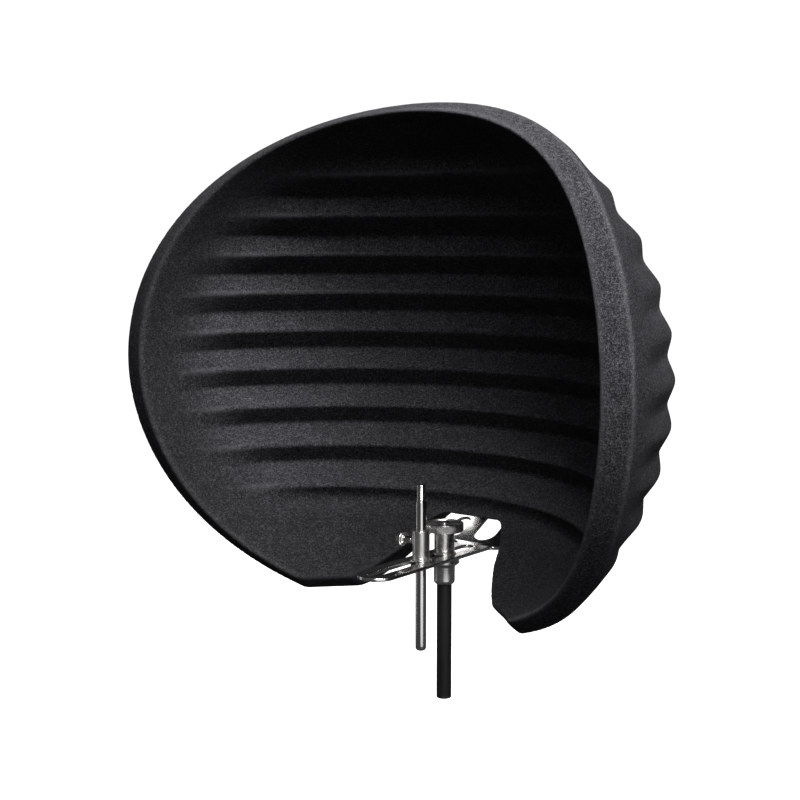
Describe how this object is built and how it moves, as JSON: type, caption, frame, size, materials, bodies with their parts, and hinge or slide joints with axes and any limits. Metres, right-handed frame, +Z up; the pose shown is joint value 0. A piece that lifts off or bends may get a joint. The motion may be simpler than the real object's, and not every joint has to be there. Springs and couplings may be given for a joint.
{
  "type": "microphone pop filter screen",
  "caption": "Deep ribbed felt bowl on a slotted steel bracket with a stand post clamp and a sliding microphone rod.",
  "frame": {"origin": "lower end of the stand post, on its axis", "axes": "+Z up along the post, the bowl opens towards -Y, +X to the right seen from the front"},
  "size_m": [0.576, 0.297, 0.5746],
  "materials": {
    "felt": "pressed felt, matt and fibrous",
    "steel_polished": "polished",
    "steel_screw": "satin",
    "post_black": "matt black powder coat",
    "nylon_black": "matt",
    "rubber_black": "matt",
    "brass": "turned"
  },
  "bodies": {
    "stand": {"stand_post": "post_black", "post_spigot": "steel_screw", "post_end_plug": "nylon_black", "stand_adaptor": "steel_polished", "flange_gasket": "rubber_black"},
    "swivel": {"slot_guide": "nylon_black"},
    "screen": {"filter_shell": "felt", "support_bracket": "steel_polished", "bracket_screws": "steel_screw", "bracket_washers": "steel_screw", "felt_inserts": "brass"},
    "carriage": {"collar_foot_washer": "steel_polished"},
    "collar": {"rod_collar": "steel_polished", "ring_nut": "steel_polished"},
    "rod": {"mic_rod": "steel_polished"},
    "pad": {"clamp_pad": "brass"},
    "thumb_screw": {"thumb_screw_shank": "steel_polished", "thumb_screw_knob": "steel_polished"},
    "clamp_washer": {"wheel_washer": "steel_polished"},
    "hand_wheel": {"clamp_wheel": "steel_polished", "wheel_neck": "steel_polished", "wheel_cap": "steel_polished", "clamp_stud": "steel_screw"}
  },
  "joints": [
    {"name": "screen_swivel", "type": "hinge", "parent": "stand", "child": "swivel", "pos_m": [0, 0, 0.146], "axis": [0, 0, 1], "continuous": true},
    {"name": "screen_slide", "type": "slide", "parent": "swivel", "child": "screen", "axis": [0, 1, 0], "range_m": [-0.014, 0.006]},
    {"name": "rod_position", "type": "slide", "parent": "screen", "child": "carriage", "axis": [0, 1, 0], "range_m": [-0.065, 0.003]},
    {"name": "collar_turn", "type": "hinge", "parent": "carriage", "child": "collar", "pos_m": [0, -0.0377, 0.146], "axis": [0, 0, 1], "range_deg": [-30, 210]},
    {"name": "rod_height", "type": "slide", "parent": "collar", "child": "rod", "axis": [0, 0, 1], "range_m": [-0.026, 0.07]},
    {"name": "thumb_travel", "type": "slide", "parent": "collar", "child": "pad", "axis": [-1, 0, 0], "range_m": [0, 0.0016]},
    {"name": "thumb_turn", "type": "hinge", "parent": "pad", "child": "thumb_screw", "pos_m": [-0.015, -0.0377, 0.164], "axis": [-1, 0, 0], "range_deg": [0, 721]},
    {"name": "wheel_travel", "type": "slide", "parent": "stand", "child": "clamp_washer", "axis": [0, 0, 1], "range_m": [0, 0.0025]},
    {"name": "wheel_turn", "type": "hinge", "parent": "clamp_washer", "child": "hand_wheel", "pos_m": [0, 0, 0.146], "axis": [0, 0, 1], "range_deg": [0, 721]}
  ],
  "couplings": [
    {"joint": "thumb_turn", "follows": "thumb_travel", "rad_per_m": 7854},
    {"joint": "wheel_turn", "follows": "wheel_travel", "rad_per_m": 5026.5}
  ]
}
